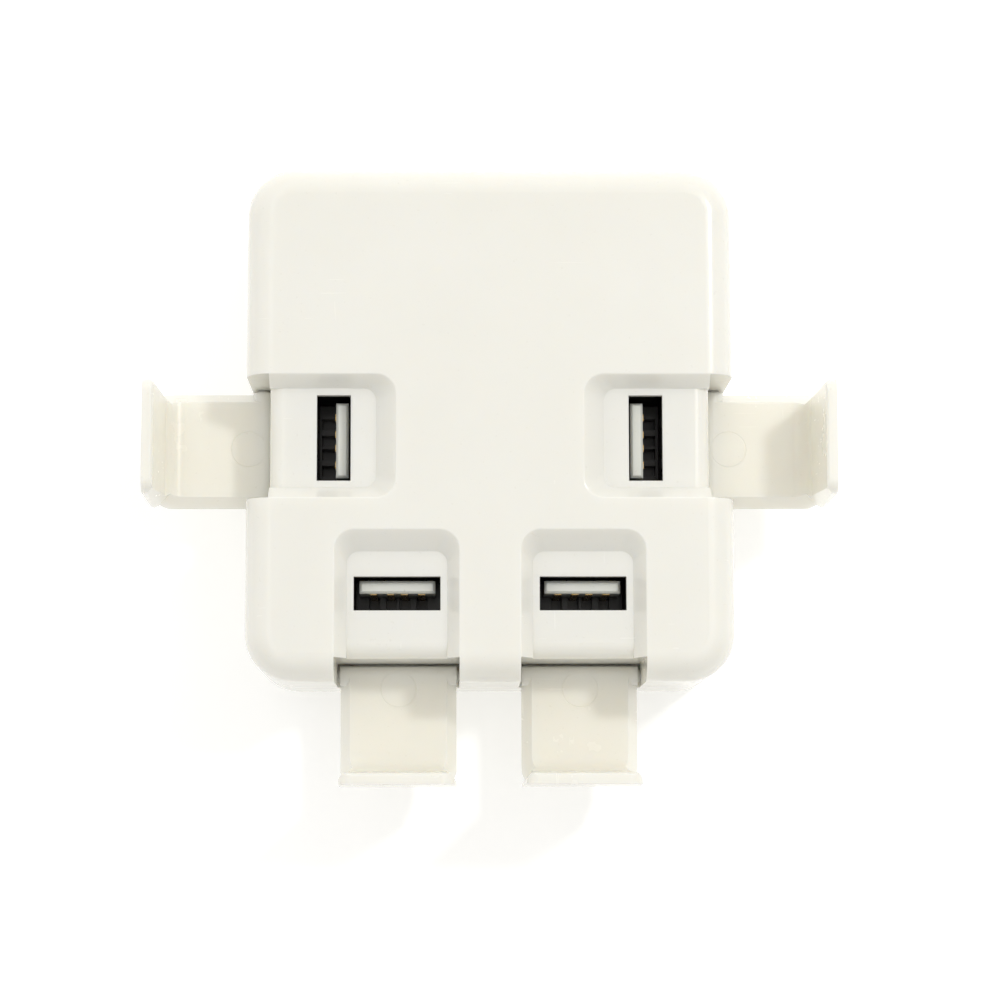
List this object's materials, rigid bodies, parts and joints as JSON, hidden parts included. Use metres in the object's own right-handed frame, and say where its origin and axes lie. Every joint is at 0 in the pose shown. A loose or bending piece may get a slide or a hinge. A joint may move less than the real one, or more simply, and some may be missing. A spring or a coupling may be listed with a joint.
{
  "type": "usb wall charger",
  "caption": "Plug-in wall charger with USB sockets on its face, a flip-out phone bracket over each socket and a folding two-blade plug in the back.",
  "frame": {"origin": "middle of the flat back face", "axes": "+X right across the face, +Y towards the top edge, +Z out of the front face; the charger lies on its back"},
  "size_m": [0.1002, 0.0898, 0.0311],
  "materials": {
    "ivory_gloss_plastic": "glossy moulded ABS",
    "white_satin_plastic": "satin moulded plastic",
    "socket_steel": "tin-plated pressed steel",
    "pin_steel": "ground steel",
    "contact_gold": "thin plated phosphor bronze",
    "blade_brass": "nickel-plated brass",
    "black_plastic": "matt epoxy or thermoplastic",
    "board_green": "solder-masked glass epoxy",
    "ferrite": "fired ferrite",
    "winding_tape": "yellow polyester tape",
    "winding_copper": "enamelled copper wire",
    "capacitor_sleeve": "shrink sleeve on an aluminium can",
    "capacitor_box": "moulded box",
    "capacitor_disc": "epoxy dip",
    "screw_steel": "bright zinc plating",
    "sink_aluminium": "plain sheet"
  },
  "bodies": {
    "housing": {"front_cover": "ivory_gloss_plastic", "rear_cover": "ivory_gloss_plastic", "main_board": "board_green", "board_screws": "screw_steel", "transformer_core": "ferrite", "transformer_bobbin": "black_plastic", "transformer_winding": "winding_tape", "bulk_capacitors": "capacitor_sleeve", "output_capacitors": "capacitor_sleeve", "choke_core": "ferrite", "choke_windings": "winding_copper", "choke_base": "black_plastic", "mains_fuse": "black_plastic", "x_capacitor": "capacitor_box", "y_capacitor": "capacitor_disc", "bridge_rectifier": "black_plastic", "power_switch_chip": "black_plastic", "optocoupler": "white_satin_plastic", "rectifier_heat_sink": "sink_aluminium", "output_rectifier": "black_plastic", "plug_cap": "black_plastic", "plug_cap_screws": "screw_steel", "plug_contact_springs": "contact_gold", "left_hinge_pin": "pin_steel", "left_port_shell": "socket_steel", "left_port_tongue": "white_satin_plastic", "left_port_contacts": "contact_gold", "right_hinge_pin": "pin_steel", "right_port_shell": "socket_steel", "right_port_tongue": "white_satin_plastic", "right_port_contacts": "contact_gold", "lower_left_hinge_pin": "pin_steel", "lower_left_port_shell": "socket_steel", "lower_left_port_tongue": "white_satin_plastic", "lower_left_port_contacts": "contact_gold", "lower_right_hinge_pin": "pin_steel", "lower_right_port_shell": "socket_steel", "lower_right_port_tongue": "white_satin_plastic", "lower_right_port_contacts": "contact_gold"},
    "plug": {"plug_spindle": "ivory_gloss_plastic", "plug_blades": "blade_brass"},
    "left_phone_bracket": {"left_bracket": "ivory_gloss_plastic"},
    "right_phone_bracket": {"right_bracket": "ivory_gloss_plastic"},
    "lower_left_phone_bracket": {"lower_left_bracket": "ivory_gloss_plastic"},
    "lower_right_phone_bracket": {"lower_right_bracket": "ivory_gloss_plastic"}
  },
  "joints": [
    {"name": "left_bracket_hinge", "type": "hinge", "parent": "housing", "child": "left_phone_bracket", "pos_m": [-0.03365, -0.0022, 0.0136], "axis": [0, 1, 0], "range_deg": [0, 90]},
    {"name": "right_bracket_hinge", "type": "hinge", "parent": "housing", "child": "right_phone_bracket", "pos_m": [0.03365, -0.0022, 0.0136], "axis": [0, -1, 0], "range_deg": [0, 90]},
    {"name": "lower_left_bracket_hinge", "type": "hinge", "parent": "housing", "child": "lower_left_phone_bracket", "pos_m": [-0.0134, -0.03585, 0.0136], "axis": [-1, 0, 0], "range_deg": [0, 90]},
    {"name": "lower_right_bracket_hinge", "type": "hinge", "parent": "housing", "child": "lower_right_phone_bracket", "pos_m": [0.0134, -0.03585, 0.0136], "axis": [-1, 0, 0], "range_deg": [0, 90]},
    {"name": "plug_hinge", "type": "hinge", "parent": "housing", "child": "plug", "pos_m": [0, 0.006, 0.0047], "axis": [-1, 0, 0], "range_deg": [0, 90]}
  ]
}
